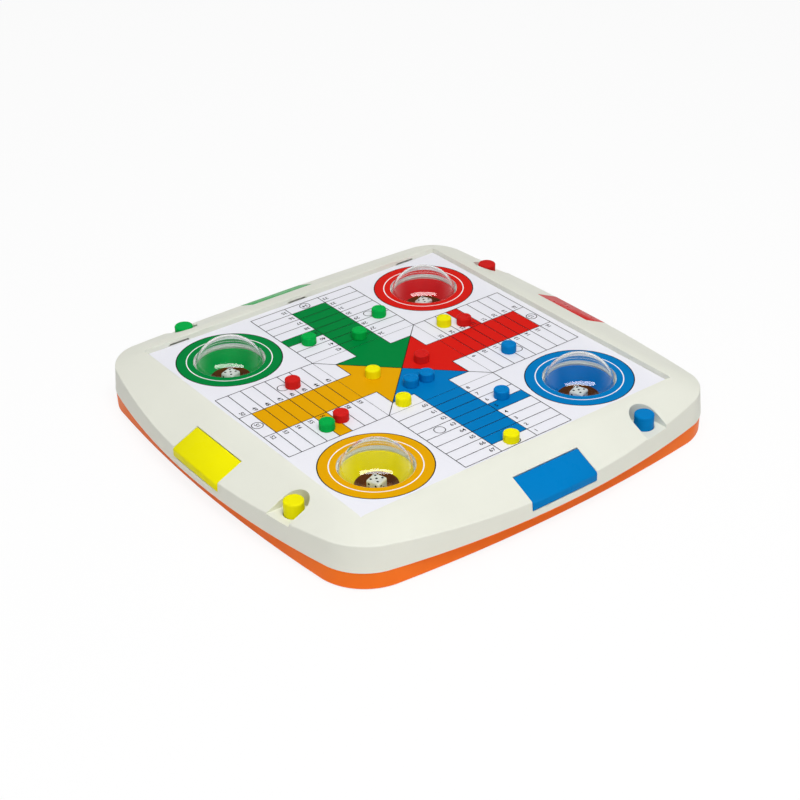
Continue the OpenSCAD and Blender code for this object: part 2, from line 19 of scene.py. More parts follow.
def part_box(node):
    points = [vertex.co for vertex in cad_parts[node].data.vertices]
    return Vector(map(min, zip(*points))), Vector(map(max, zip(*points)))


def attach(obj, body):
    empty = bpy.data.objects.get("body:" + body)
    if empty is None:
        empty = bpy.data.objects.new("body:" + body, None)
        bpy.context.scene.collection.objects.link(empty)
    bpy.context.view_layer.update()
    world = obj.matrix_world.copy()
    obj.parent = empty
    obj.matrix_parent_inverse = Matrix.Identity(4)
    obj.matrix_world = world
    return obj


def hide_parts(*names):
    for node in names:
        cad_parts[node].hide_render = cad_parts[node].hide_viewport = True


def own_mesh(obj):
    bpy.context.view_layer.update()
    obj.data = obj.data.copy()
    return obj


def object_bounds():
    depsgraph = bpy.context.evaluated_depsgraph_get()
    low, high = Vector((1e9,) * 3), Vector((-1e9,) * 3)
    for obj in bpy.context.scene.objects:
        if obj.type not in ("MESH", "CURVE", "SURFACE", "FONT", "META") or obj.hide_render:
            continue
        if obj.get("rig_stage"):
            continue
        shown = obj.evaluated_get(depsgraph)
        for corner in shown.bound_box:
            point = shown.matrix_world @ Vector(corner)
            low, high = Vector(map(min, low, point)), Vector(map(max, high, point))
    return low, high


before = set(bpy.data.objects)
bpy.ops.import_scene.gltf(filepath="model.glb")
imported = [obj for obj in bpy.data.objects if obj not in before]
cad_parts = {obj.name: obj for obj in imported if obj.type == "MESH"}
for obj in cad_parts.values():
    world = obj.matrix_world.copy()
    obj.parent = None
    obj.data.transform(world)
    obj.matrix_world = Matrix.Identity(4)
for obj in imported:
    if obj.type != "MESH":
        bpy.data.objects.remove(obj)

MM = 0.001
CAD_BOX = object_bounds()
Colour = tuple[int, int, int]
Span = tuple[float, float]
Piece = bpy.types.Object
Socket = bpy.types.NodeSocket
Face = bmesh.types.BMFace
Edge = bmesh.types.BMEdge
SHELF: dict[str, bpy.types.Material] = {}
log = logging.getLogger("parcheesi_board")

# What counts as the same place, and how much a level face's normal rises at least and a wall's at most
NEAR = 0.1 * MM
LEVEL = 0.9
STEEP = 0.5

# Corners from which a face counts as round, and creases of turned and of rounded pieces
MANY_CORNERS = 8
CREASE = 30
SOFT_CREASE = 35

# Where most values of a noise lie, and how much each finer layer of it counts
NOISE_LOW = 0.3
NOISE_HIGH = 0.7
NOISE_FADE = 0.5


# Finishes


def linear(colour: Colour) -> tuple[float, float, float, float]:
    """A screen colour of 0 to 255 as the linear colour that a shader takes.

    Args:
        colour: red, green and blue, 0 to 255.

    Returns:
        Linear red, green, blue and an alpha of 1.
    """
    shares = [c / 255 for c in colour]
    r, g, b = (s / 12.92 if s <= 0.04045 else ((s + 0.055) / 1.055) ** 2.4 for s in shares)
    return (r, g, b, 1.0)


class NodeDesk:
    """A node tree, with short calls that add nodes and feed them."""

    def __init__(self, tree: bpy.types.NodeTree) -> None:
        """Clears the tree for new nodes."""
        self.tree = tree
        tree.nodes.clear()

    def feed(self, target: Socket, source: object) -> None:
        """Links an output to an input, or gives the input a value."""
        if isinstance(source, bpy.types.NodeSocket):
            self.tree.links.new(source, target)
        else:
            target.default_value = source

    def fill(self, node: bpy.types.Node, sockets: dict[str, object]) -> None:
        """Feeds a node's inputs by their names, with _ for a space."""
        for name, source in sockets.items():
            self.feed(node.inputs[name.replace("_", " ")], source)

    def add(self, kind: str, *first: object, **sockets: object) -> bpy.types.Node:
        """Adds a node.

        Args:
            kind: the node's type name, without its prefix.
            first: what feeds its first inputs, in their order.
            sockets: what feeds inputs by name.

        Returns:
            The new node.
        """
        node = self.tree.nodes.new(f"ShaderNode{kind}")
        for target, source in zip(node.inputs, first):
            self.feed(target, source)
        self.fill(node, sockets)
        return node

    def combine(self, operation: str, one: Socket, other: Socket) -> Socket:
        """Two values put together.

        Args:
            operation: how, such as MAXIMUM.
            one: the first value.
            other: the second value.

        Returns:
            The result's output.
        """
        node = self.add("Math", one, other)
        node.operation = operation
        return node.outputs["Value"]

    def mixed(self, share: object, first: bpy.types.Node, second: bpy.types.Node) -> bpy.types.Node:
        """Two shaders mixed.

        Args:
            share: how much of the second is in the mix.
            first: the first shader.
            second: the second shader.

        Returns:
            The mix.
        """
        return self.add("MixShader", share, first.outputs[0], second.outputs[0])


class ShaderDesk(NodeDesk):
    """The nodes of one finish, round a principled shader."""

    def __init__(self, name: str) -> None:
        """Starts a material that holds a bare principled shader.

        Args:
            name: the material's name.
        """
        self.material = bpy.data.materials.new(name)
        self.material.use_nodes = True
        super().__init__(self.material.node_tree)
        self.shader = self.add("BsdfPrincipled")
        self.out = self.add("OutputMaterial", Surface=self.shader.outputs["BSDF"])
        self.place = self.add("TexCoord").outputs["Object"]

    def set(self, **sockets: object) -> None:
        """Feeds the shader's own inputs."""
        self.fill(self.shader, sockets)

    def noise(self, grain: float, detail: float = 2.0, stretch: Sequence[float] = (1, 1, 1)) -> Socket:
        """A noise of a given grain size.

        Args:
            grain: size of one grain, in metres.
            detail: how many finer layers it has.
            stretch: how much longer the grain is along each axis.

        Returns:
            The noise's value output.
        """
        turn = self.add("Mapping", Vector=self.place, Scale=[1 / s for s in stretch])
        cloud = self.add("TexNoise", Vector=turn.outputs["Vector"], Scale=1 / grain, Detail=detail,
                         Roughness=NOISE_FADE)
        return cloud.outputs["Fac"]

    def spread(self, source: Socket, low: float, high: float) -> Socket:
        """Maps a noise onto a range of values.

        Args:
            source: the noise.
            low: the value at the noise's low end.
            high: the value at its high end.

        Returns:
            The mapped output.
        """
        ruler = self.add("MapRange", Value=source, From_Min=NOISE_LOW, From_Max=NOISE_HIGH,
                         To_Min=low, To_Max=high)
        return ruler.outputs["Result"]

    def tint(self, colour: Colour, source: Socket, change: float) -> None:
        """Colours the surface, a little lighter and darker with a noise.

        Args:
            colour: the middle colour.
            source: the noise.
            change: share by which the colour goes up and down.
        """
        level = self.spread(source, 1 - change, 1 + change)
        shade = self.add("HueSaturation", Color=linear(colour), Value=level)
        self.set(Base_Color=shade.outputs["Color"])

    def polish(self, source: Socket, low: float, high: float) -> None:
        """Lets the roughness wander between two values with a noise."""
        self.set(Roughness=self.spread(source, low, high))

    def relief(self, source: Socket, depth: float, strength: float) -> None:
        """Gives the surface a fine relief.

        Args:
            source: the height.
            depth: depth of the relief, in metres.
            strength: share of it that shows.
        """
        bump = self.add("Bump", Strength=strength, Distance=depth, Height=source)
        self.set(Normal=bump.outputs["Normal"])


@dataclass(frozen=True)
class Finish:
    """A named finish of one colour. Its kinds add what their surface shows."""

    name: str
    colour: Colour

    def material(self) -> bpy.types.Material:
        """The finish as a material, made at its first use."""
        if self.name not in SHELF:
            SHELF[self.name] = self.mix(ShaderDesk(self.name)).material
        return SHELF[self.name]

    def mix(self, desk: ShaderDesk) -> ShaderDesk:
        """Sets out the finish on a bare shader."""
        raise NotImplementedError


@dataclass(frozen=True)
class MouldedPlastic(Finish):
    """Moulded plastic: even colour with faint flow marks, a fine skin from the mould, a soft gloss."""

    gloss: float = 0.32
    sheen: float = 0.08
    flow: float = 60 * MM
    flow_layers: float = 3.0
    flow_tint: float = 0.018
    patch: float = 10 * MM
    wander: Span = (-0.05, 0.06)
    skin: float = 0.35 * MM
    skin_depth: float = 0.03 * MM
    skin_share: float = 0.25
    bend: float = 1.48

    def mix(self, desk: ShaderDesk) -> ShaderDesk:
        """Sets out flow marks, gloss and skin."""
        desk.tint(self.colour, desk.noise(self.flow, self.flow_layers), self.flow_tint)
        desk.polish(desk.noise(self.patch), *(self.gloss + step for step in self.wander))
        desk.relief(desk.noise(self.skin), self.skin_depth, self.skin_share)
        desk.set(IOR=self.bend, Specular_IOR_Level=self.sheen)
        return desk


@dataclass(frozen=True)
class PrintedCard(Finish):
    """Coated card or the ink on it: a faint fibre and a dull gloss."""

    fibre: float = 0.5 * MM
    fibre_layers: float = 4.0
    fibre_run: tuple[float, float, float] = (3, 1, 1)
    fibre_tint: float = 0.02
    fibre_depth: float = 0.01 * MM
    fibre_share: float = 0.2
    patch: float = 8 * MM
    gloss: float = 0.45
    wander: Span = (-0.04, 0.05)
    sheen: float = 0.03
    bend: float = 1.45

    def mix(self, desk: ShaderDesk) -> ShaderDesk:
        """Sets out fibre and gloss."""
        desk.tint(self.colour, desk.noise(self.fibre, self.fibre_layers, self.fibre_run), self.fibre_tint)
        desk.polish(desk.noise(self.patch), *(self.gloss + step for step in self.wander))
        desk.relief(desk.noise(self.fibre, stretch=self.fibre_run), self.fibre_depth, self.fibre_share)
        desk.set(IOR=self.bend, Specular_IOR_Level=self.sheen)
        return desk


@dataclass(frozen=True)
class ClearPlastic(Finish):
    """Polished clear plastic with a trace of ripple from the mould."""

    ripple: float = 30 * MM
    ripple_depth: float = 0.01 * MM
    ripple_share: float = 0.03
    rough: Span = (0.015, 0.04)
    bend: float = 1.45
    haze: float = 0.2
    haze_width: float = 0.3
    haze_tint: Colour = (236, 234, 226)

    def mix(self, desk: ShaderDesk) -> ShaderDesk:
        """Sets out the clear body and its faint ripple, and lets the lamps shine through it."""
        desk.set(Base_Color=linear(self.colour), Transmission_Weight=1.0, IOR=self.bend)
        desk.set(Sheen_Weight=self.haze, Sheen_Roughness=self.haze_width, Sheen_Tint=linear(self.haze_tint))
        waves = desk.noise(self.ripple)
        desk.polish(waves, *self.rough)
        desk.relief(waves, self.ripple_depth, self.ripple_share)
        through = desk.add("BsdfTransparent", Color=linear(self.colour))
        shadow = desk.add("LightPath").outputs["Is Shadow Ray"]
        either = desk.mixed(shadow, desk.shader, through)
        desk.feed(desk.out.inputs["Surface"], either.outputs["Shader"])
        return desk


@dataclass(frozen=True)
class DrawnSteel(Finish):
    """Plated steel with fine drawing marks."""

    patch: float = 4 * MM
    patch_tint: float = 0.05
    marks: float = 0.25 * MM
    marks_run: tuple[float, float, float] = (1, 1, 12)
    marks_depth: float = 0.01 * MM
    marks_share: float = 0.2
    rough: Span = (0.22, 0.38)

    def mix(self, desk: ShaderDesk) -> ShaderDesk:
        """Sets out the metal and its marks."""
        desk.tint(self.colour, desk.noise(self.patch), self.patch_tint)
        streaks = desk.noise(self.marks, stretch=self.marks_run)
        desk.polish(streaks, *self.rough)
        desk.relief(streaks, self.marks_depth, self.marks_share)
        desk.set(Metallic=1.0)
        return desk


@dataclass(frozen=True)
class SoftRubber(Finish):
    """Dull dark rubber with a dusty grain."""

    grain: float = 0.3 * MM
    grain_layers: float = 3.0
    grain_tint: float = 0.12
    grain_depth: float = 0.05 * MM
    grain_share: float = 0.4
    rough: Span = (0.7, 0.9)

    def mix(self, desk: ShaderDesk) -> ShaderDesk:
        """Sets out the grain."""
        dust = desk.noise(self.grain, self.grain_layers)
        desk.tint(self.colour, dust, self.grain_tint)
        desk.polish(dust, *self.rough)
        desk.relief(dust, self.grain_depth, self.grain_share)
        return desk


IVORY = MouldedPlastic("ivory_shell", (232, 233, 221), gloss=0.42, sheen=0.2)
ORANGE = MouldedPlastic("orange_tray", (255, 121, 34), gloss=0.4)
DECK = MouldedPlastic("deck_white", (236, 236, 230), gloss=0.5)
DICE_WHITE = MouldedPlastic("dice_white", (240, 240, 234), gloss=0.2)
PIP_BLACK = MouldedPlastic("pip_black", (22, 22, 24), gloss=0.3)
CLEAR = ClearPlastic("clear_dome", (250, 252, 252))
MILKY = MouldedPlastic("ground_rim", (232, 233, 226), gloss=0.5)
CARD = PrintedCard("sheet_card", (236, 236, 243))
INK_BLACK = PrintedCard("ink_black", (22, 22, 26))
INK_WHITE = PrintedCard("ink_white", (244, 244, 246))
STEEL = DrawnSteel("plated_steel", (196, 197, 202))
RUBBER = SoftRubber("black_rubber", (30, 30, 31))
# Dark brown painted into the bowls' wells and onto the rockers' plates: painted shade for the shade down in
# each well
WELL_SHADE = PrintedCard("brown_fibre", (126, 70, 24), fibre=0.8 * MM, gloss=0.7)


class Player(Enum):
    """The four players in their order round the board."""

    BLUE = 0
    RED = 1
    GREEN = 2
    YELLOW = 3

    @property
    def tag(self) -> str:
        """The player's colour as pieces' names have it."""
        return self.name.lower()

    @property
    def turn(self) -> Matrix:
        """The quarter turns from the blue side to this player's."""
        return Matrix.Rotation(self.value * math.pi / 2, 4, "Z")

    @property
    def plastic(self) -> MouldedPlastic:
        """Plastic of the buttons, lids and pieces."""
        shade = ((3, 125, 196), (210, 33, 30), (6, 172, 73), (243, 235, 9))[self.value]
        return MouldedPlastic(f"{self.tag}_moulding", shade, gloss=0.3, sheen=0.03)

    @property
    def bowl(self) -> MouldedPlastic:
        """Plastic of the dice bowl and its rocker."""
        shade = ((0, 117, 198), (219, 34, 38), (0, 164, 74), (246, 229, 10))[self.value]
        return MouldedPlastic(f"{self.tag}_bowl", shade, gloss=0.3, sheen=0.03)

    @property
    def ink(self) -> PrintedCard:
        """Ink of this player's part of the sheet."""
        shade = ((0, 121, 189), (217, 30, 22), (0, 132, 60), (228, 165, 2))[self.value]
        return PrintedCard(f"{self.tag}_ink", shade)


# Workbench


class Part(Enum):
    """What of a mesh is picked in edit mode."""

    FACE = "faces"
    EDGE = "edges"


def take(obj: Piece) -> Piece:
    """Selects one object alone and makes it active."""
    bpy.ops.object.select_all(action="DESELECT")
    obj.select_set(True)
    bpy.context.view_layer.objects.active = obj
    return obj


def added(name: str) -> Piece:
    """Names the object that the last operator added, and takes it alone."""
    obj = bpy.context.object
    obj.name = name
    obj.data.name = name
    return take(obj)


@contextmanager
def edit(obj: Piece, whole: bool = False) -> Iterator[None]:
    """Edit mode on one object.

    Args:
        obj: the object.
        whole: whether all of it is selected at the start, or nothing.
    """
    take(obj)
    bpy.ops.object.mode_set(mode="EDIT")
    bpy.ops.mesh.select_mode(type="VERT")
    bpy.ops.mesh.select_all(action="SELECT" if whole else "DESELECT")
    try:
        yield
    finally:
        bpy.ops.object.mode_set(mode="OBJECT")


def pick(obj: Piece, part: Part, test: Callable[..., bool]) -> int:
    """Selects, in edit mode, only the faces or edges that pass a test.

    Args:
        obj: the object in edit mode.
        part: whether faces or edges are picked.
        test: says of a face or edge whether it is wanted.

    Returns:
        How many are selected.
    """
    bpy.ops.mesh.select_mode(type=part.name)
    bpy.ops.mesh.select_all(action="DESELECT")
    mesh = bmesh.from_edit_mesh(obj.data)
    chosen = [piece for piece in getattr(mesh, part.value) if test(piece)]
    for piece in chosen:
        piece.select_set(True)
    bmesh.update_edit_mesh(obj.data)
    return len(chosen)


def over(e: Edge, z: float) -> bool:
    """Whether an edge lies wholly over a height."""
    return all(v.co.z > z for v in e.verts)


def under(e: Edge, z: float) -> bool:
    """Whether an edge lies wholly under a height."""
    return all(v.co.z < z for v in e.verts)


def within(value: float, span: Span) -> bool:
    """Whether a value lies inside a span."""
    return span[0] < value < span[1]


def round_edges(obj: Piece, test: Callable[[Edge], bool], size: float, steps: int,
                clamp: bool = False) -> int:
    """Rounds, in edit mode, the edges that pass a test.

    Args:
        obj: the object in edit mode.
        test: says of an edge whether it is wanted.
        size: how far the rounding reaches from the edge.
        steps: faces across the rounding.
        clamp: whether roundings stop where they would meet.

    Returns:
        How many edges were rounded.
    """
    count = pick(obj, Part.EDGE, test)
    bpy.ops.mesh.bevel(offset=size, segments=steps, affect="EDGES", clamp_overlap=clamp)
    return count


def grow(centre: Sequence[float], share: float = 1, rise: float = 0) -> None:
    """Extrudes, in edit mode, what is selected.

    Args:
        centre: the point round which the new part is scaled.
        share: its width over that of the old part.
        rise: how far it goes up.
    """
    bpy.ops.mesh.extrude_region()
    bpy.ops.transform.resize(value=(share, share, 1), center_override=centre)
    bpy.ops.transform.translate(value=(0, 0, rise))


def face_up(obj: Piece) -> None:
    """Turns a flat print's faces upwards."""
    with edit(obj):
        if pick(obj, Part.FACE, lambda f: f.normal.z < 0):
            bpy.ops.mesh.flip_normals()


def finish_modifier(obj: Piece, kind: str, **settings: object) -> None:
    """Adds a modifier and applies it.

    Args:
        obj: the object.
        kind: the modifier's type.
        settings: its settings by name.
    """
    take(obj)
    tool = obj.modifiers.new(kind.lower(), kind)
    for name, value in settings.items():
        setattr(tool, name, value)
    bpy.ops.object.modifier_apply(modifier=tool.name)


def smooth(obj: Piece, crease: float = CREASE) -> None:
    """Puts the piece's place into its mesh and shades it smooth up to a crease."""
    take(obj)
    bpy.ops.object.transform_apply(location=True, rotation=True, scale=True)
    bpy.ops.object.shade_smooth_by_angle(angle=math.radians(crease))


def copied(obj: Piece, name: str, move: Matrix) -> Piece:
    """A copy with its own mesh.

    Args:
        obj: the model to copy.
        name: name of the copy.
        move: where the copy goes, from where the model is.

    Returns:
        The copy, with its place in its mesh.
    """
    twin = obj.copy()
    twin.data = obj.data.copy()
    twin.name = name
    twin.data.name = name
    bpy.context.scene.collection.objects.link(twin)
    twin.data.transform(move)
    return take(twin)


def joined(parts: Sequence[Piece], name: str) -> Piece:
    """Joins objects into one.

    Args:
        parts: the objects; the first keeps its materials' order.
        name: name of the result.

    Returns:
        The joined object.
    """
    bpy.ops.object.select_all(action="DESELECT")
    for part in parts:
        part.select_set(True)
    bpy.context.view_layer.objects.active = parts[0]
    bpy.ops.object.join()
    return added(name)


def scrap(obj: Piece) -> None:
    """Removes a model that only its copies were wanted of."""
    bpy.data.meshes.remove(obj.data)


def plane(name: str, centre: Sequence[float], size: tuple[float, float], turn: float = 0.0) -> Piece:
    """A flat oblong.

    Args:
        name: its name.
        centre: its middle.
        size: its length and width.
        turn: the turn of its length from X, in radians.

    Returns:
        The oblong.
    """
    bpy.ops.mesh.primitive_plane_add(size=1, location=centre)
    obj = added(name)
    obj.scale = (*size, 1)
    obj.rotation_euler = (0, 0, turn)
    smooth(obj)
    return obj


def seat(obj: Piece, body: str, slot: str, finish: Finish | None, stands_for: Sequence[str] = ()) -> None:
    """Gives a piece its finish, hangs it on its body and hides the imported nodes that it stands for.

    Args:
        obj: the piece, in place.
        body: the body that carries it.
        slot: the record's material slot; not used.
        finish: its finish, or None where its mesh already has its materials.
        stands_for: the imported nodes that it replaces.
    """
    if finish is not None:
        obj.data.materials.clear()
        obj.data.materials.append(finish.material())
    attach(obj, body)
    if stands_for:
        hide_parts(*stands_for)
    log.info("%s: %d faces on %s", obj.name, len(obj.data.polygons), body)


def two_tone(obj: Piece, main: Finish, other: Finish,
             picked: Callable[[bpy.types.MeshPolygon], bool]) -> None:
    """Gives a piece its finish, and a second one to some faces.

    Args:
        obj: the piece.
        main: the finish of most faces.
        other: the finish of the picked faces.
        picked: the test of a face.
    """
    obj.data.materials.clear()
    for finish in (main, other):
        obj.data.materials.append(finish.material())
    for face in obj.data.polygons:
        face.material_index = int(picked(face))


def from_node(node: str, name: str, crease: float = CREASE, edge: float = 0.0) -> Piece:
    """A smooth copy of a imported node, its doubles merged and its sharp edges broken.

    Args:
        node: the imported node.
        name: name of the copy.
        crease: angle in degrees from which an edge counts as sharp.
        edge: width by which sharp edges are broken, or 0 for none.

    Returns:
        The copy.
    """
    same_place = 0.002 * MM
    same_plane = math.radians(0.2)
    edge_steps = 2
    obj = copied(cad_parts[node], name, Matrix.Identity(4))
    for key in [k for k in obj.keys() if k.startswith("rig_")]:
        del obj[key]
    obj.parent = None
    with edit(obj, whole=True):
        bpy.ops.mesh.customdata_custom_splitnormals_clear()
        bpy.ops.mesh.remove_doubles(threshold=same_place)
        bpy.ops.mesh.dissolve_limited(angle_limit=same_plane)
    if edge:
        finish_modifier(obj, "BEVEL", width=edge, segments=edge_steps, limit_method="ANGLE",
                        angle_limit=math.radians(crease), use_clamp_overlap=False,
                        miter_outer="MITER_SHARP")
    smooth(obj, crease)
    return obj


# Sub-assemblies


@dataclass
class MouldedCase:
    """The ivory shell, the orange tray under it, the deck, and the feet and screws that hold them."""

    crease: float = 22
    fold_round: float = 0.7 * MM
    fold_side: float = 165 * MM
    sill_side: float = 155 * MM
    sill_low: float = 44 * MM
    sill_round: float = 0.5 * MM
    round_steps: int = 3
    wall_rise: Span = (0.05, 0.2)
    slope_rise: Span = (0.8, 0.99)
    window_rise: Span = (-0.2, 0.2)
    outward: float = 0.7
    foot_edge: float = 0.6 * MM
    head_r: float = 3.4 * MM
    head_t: float = 2.0 * MM
    head_round: float = 0.5 * MM
    head_sides: int = 36
    shank_r: float = 1.5 * MM
    tip: float = 2.5 * MM
    tip_share: float = 0.3
    cross_len: float = 4.4 * MM
    cross_w: float = 0.95 * MM
    cross_depth: float = 1.3 * MM

    def build(self) -> None:
        """Makes all pieces of the case."""
        seat(self.shell(), "case", "ivory_plastic", IVORY, ["top_case"])
        for node, name, slot, finish, edge in (
            ("base_tray", "case_tray", "orange_plastic", ORANGE, 0.0),
            ("board_panel", "case_deck", "deck_plastic", DECK, 0.0),
            ("feet", "case_feet", "foot_rubber", RUBBER, self.foot_edge),
        ):
            seat(from_node(node, name, self.crease, edge), "case", slot, finish, [node])
        seat(self.screws(), "case", "spring_steel", STEEL, ["case_screws"])
        small = from_node("cup_screws", "bowl_screws", self.crease)
        seat(small, "case", "spring_steel", STEEL, ["cup_screws"])

    @staticmethod
    def middle(e: Edge) -> Vector:
        """Where the middle of an edge is, seen from above."""
        return ((e.verts[0].co + e.verts[1].co) / 2).xy

    def is_fold(self, e: Edge) -> bool:
        """Whether an edge of the shell lies between its slope and its outer wall."""
        middle = self.middle(e)
        if max(map(abs, middle)) < self.fold_side or len(e.link_faces) != 2:
            return False
        wall, slope = sorted(e.link_faces, key=lambda f: f.normal.z)
        faces_out = wall.normal.xy.dot(middle.normalized()) > self.outward
        leans = within(wall.normal.z, self.wall_rise) and within(slope.normal.z, self.slope_rise)
        return faces_out and leans

    def is_sill(self, e: Edge) -> bool:
        """Whether an edge of the shell is the upper edge of its window."""
        middle = self.middle(e)
        if max(map(abs, middle)) > self.sill_side or len(e.link_faces) != 2:
            return False
        wall, land = sorted(e.link_faces, key=lambda f: f.normal.z)
        faces_in = wall.normal.xy.dot(middle) < 0 and within(wall.normal.z, self.window_rise)
        return faces_in and land.normal.z > LEVEL and over(e, self.sill_low)

    def shell(self) -> Piece:
        """The shell, with the fold round its slope and the window's upper edge rounded."""
        obj = from_node("top_case", "case_shell", self.crease)
        with edit(obj):
            folds = round_edges(obj, self.is_fold, self.fold_round, self.round_steps, clamp=True)
            sills = round_edges(obj, self.is_sill, self.sill_round, self.round_steps, clamp=True)
        log.info("shell: %d edges of the fold and %d of the window rounded", folds, sills)
        smooth(obj, self.crease)
        return obj

    def screw(self, length: float) -> Piece:
        """One cross-recessed screw, its head at the origin and its shank upwards.

        Args:
            length: from the face of the head to the tip.

        Returns:
            The screw.
        """
        bpy.ops.mesh.primitive_cylinder_add(vertices=self.head_sides, radius=self.head_r, depth=self.head_t,
                                            location=(0, 0, self.head_t / 2))
        screw = added("screw_model")
        smooth(screw)
        with edit(screw):
            pick(screw, Part.FACE, lambda f: f.normal.z > LEVEL)
            bpy.ops.mesh.inset(thickness=self.head_r - self.shank_r)
            grow((0, 0, 0), rise=length - self.head_t - self.tip)
            grow((0, 0, 0), self.tip_share, self.tip)
            round_edges(screw, lambda e: under(e, NEAR), self.head_round, self.round_steps)
        bars = []
        for turn in (0, math.pi / 2):
            bpy.ops.mesh.primitive_cube_add(size=1, rotation=(0, 0, turn))
            bar = added("bar")
            bar.scale = (self.cross_len, self.cross_w, 2 * self.cross_depth)
            smooth(bar)
            bars.append(bar)
        cross = joined(bars, "cross")
        finish_modifier(screw, "BOOLEAN", operation="DIFFERENCE", object=cross, solver="EXACT",
                        use_self=True)
        scrap(cross)
        smooth(screw, SOFT_CREASE)
        return screw

    def screws(self) -> Piece:
        """A screw where each packed one is."""
        low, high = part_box("case_screws")
        packed = from_node("case_screws", "packed_screws", self.crease)
        with edit(packed, whole=True):
            bpy.ops.mesh.separate(type="LOOSE")
        ones = list(bpy.context.selected_objects)
        model = self.screw(high.z - low.z)
        made = []
        for one in ones:
            spots = [v.co for v in one.data.vertices]
            x, y = ((min(c[k] for c in spots) + max(c[k] for c in spots)) / 2 for k in (0, 1))
            made.append(copied(model, f"screw_{len(made)}", Matrix.Translation((x, y, low.z))))
        for spare in (*ones, model):
            scrap(spare)
        return joined(made, "case_screws_steel")


@dataclass
class PlaySheet:
    """The printed sheet: a traditional cross of squares, four arrows to the middle and four rings."""

    top: float = 42 * MM
    lift: float = 0.03 * MM
    arm_half: float = 52.7 * MM
    arm_end: float = 146.8 * MM
    rows: int = 8
    columns: int = 3
    line: float = 0.7 * MM
    head: float = 38.9 * MM
    ring_pos: float = 102.3 * MM
    ring_r: float = 43.7 * MM
    ring_line: float = 0.9 * MM
    ring_sides: int = 144
    halo_r: float = 35.6 * MM
    halo_w: float = 0.9 * MM
    hole_r: float = 30.0 * MM
    mark_r: float = 4.9 * MM
    mark_sides: int = 48
    start_row: int = 5
    digit: float = 5.4 * MM
    digit_stroke: float = 0.08 * MM
    digit_gap: float = 4.4 * MM
    digit_steps: int = 2
    track: int = 68

    @property
    def pitch(self) -> float:
        """Depth of one row of squares."""
        return (self.arm_end - self.arm_half) / self.rows

    @property
    def lane(self) -> float:
        """Half the width of a home lane."""
        return self.arm_half / self.columns

    @property
    def ink_z(self) -> float:
        """Height of the colours over the floor."""
        return self.top + self.lift

    @property
    def line_z(self) -> float:
        """Height of lines and numbers, which lie on the colours."""
        return self.top + 2 * self.lift

    def row_y(self, row: int) -> float:
        """Middle of a row of the blue arm, counted from 1 at its outer end."""
        return -self.arm_end + (row - 0.5) * self.pitch

    def build(self) -> None:
        """Prints the sheet."""
        sheet = from_node("board_sheet", "sheet_card")
        seat(sheet, "case", "printed_sheet", CARD, ["board_sheet"])
        lines, inks = self.squares()
        heads = self.arrow()
        rings = self.ring()
        for player in Player:
            ink = copied(inks, f"ink_lane_{player.tag}", player.turn)
            arrow = copied(heads, f"ink_arrow_{player.tag}", player.turn)
            seat(joined([ink, arrow], f"print_lane_{player.tag}"), "case", "printed_sheet", player.ink)
            ring = copied(rings, f"print_ring_{player.tag}", player.turn)
            for k, finish in enumerate((INK_BLACK, player.ink, INK_WHITE)):
                ring.data.materials[k] = finish.material()
            seat(ring, "case", "printed_sheet", None)
        all_lines = [copied(lines, f"line_{p.tag}", p.turn) for p in Player]
        seat(joined(all_lines, "print_lines"), "case", "printed_sheet", INK_BLACK)
        seat(self.numbers(), "case", "printed_sheet", INK_BLACK)
        for model in (lines, inks, heads, rings):
            scrap(model)

    def squares(self) -> tuple[Piece, Piece]:
        """The blue arm's squares, cut from one grid.

        Returns:
            The lines between all squares and round the marks, and the coloured squares.
        """
        middle = -(self.arm_half + self.arm_end) / 2
        bpy.ops.mesh.primitive_grid_add(x_subdivisions=self.columns, y_subdivisions=self.rows, size=1,
                                        location=(0, middle, self.line_z))
        grid = added("arm_lines")
        grid.scale = (2 * self.arm_half, self.arm_end - self.arm_half, 1)
        smooth(grid)
        start_y = self.row_y(self.start_row)

        def is_square(f: Face) -> bool:
            """Whether a face is a square and not a line."""
            return f.calc_area() > self.pitch * self.lane

        def coloured(f: Face) -> bool:
            """Whether a square belongs to the home lane or is the start."""
            c = f.calc_center_median()
            in_lane = abs(c.x) < self.lane and c.y > self.row_y(1) + self.pitch / 2
            is_start = c.x > self.lane and abs(c.y - start_y) < self.pitch / 2
            return is_square(f) and (in_lane or is_start)

        with edit(grid, whole=True):
            bpy.ops.mesh.inset(thickness=self.line / 2, use_individual=True)
            pick(grid, Part.FACE, coloured)
            bpy.ops.mesh.separate(type="SELECTED")
        inks = [o for o in bpy.context.selected_objects if o is not grid][0]
        inks.name = "arm_inks"
        inks.data.transform(Matrix.Translation((0, 0, self.ink_z - self.line_z)))
        with edit(grid):
            pick(grid, Part.FACE, is_square)
            bpy.ops.mesh.delete(type="FACE")
        radii = (self.mark_r, self.mark_r - self.line)
        marks = []
        for name, x, y in (("end_mark", 0, self.row_y(1)), ("safe_mark", -2 * self.lane, start_y)):
            marks.append(self.bands(name, Vector((x, y, self.line_z)), radii, self.mark_sides))
        return joined([grid, *marks, *self.strips()], "arm_lines"), inks

    def strip(self, start: Vector, end: Vector) -> Piece:
        """A printed line.

        Args:
            start: one end.
            end: the other end.

        Returns:
            A flat strip between them.
        """
        run = end - start
        return plane("strip", (start + end) / 2, (run.length, self.line), math.atan2(run.y, run.x))

    def strips(self) -> list[Piece]:
        """The blue arm's outline, and its share of the lines round the arrows."""
        z = self.line_z + self.lift
        a, b, d, w = self.arm_half, self.arm_end, self.head, self.lane
        ends = [((0, 0), (a, -a)),
                ((w, -a), (w, -d)), ((-w, -a), (-w, -d)),
                ((w, -d), (d, -d)), ((-w, -d), (-d, -d)),
                ((a, -a), (a, -b)), ((-a, -a), (-a, -b)),
                ((-a, -b), (a, -b))]
        return [self.strip(Vector((*p, z)), Vector((*q, z))) for p, q in ends]

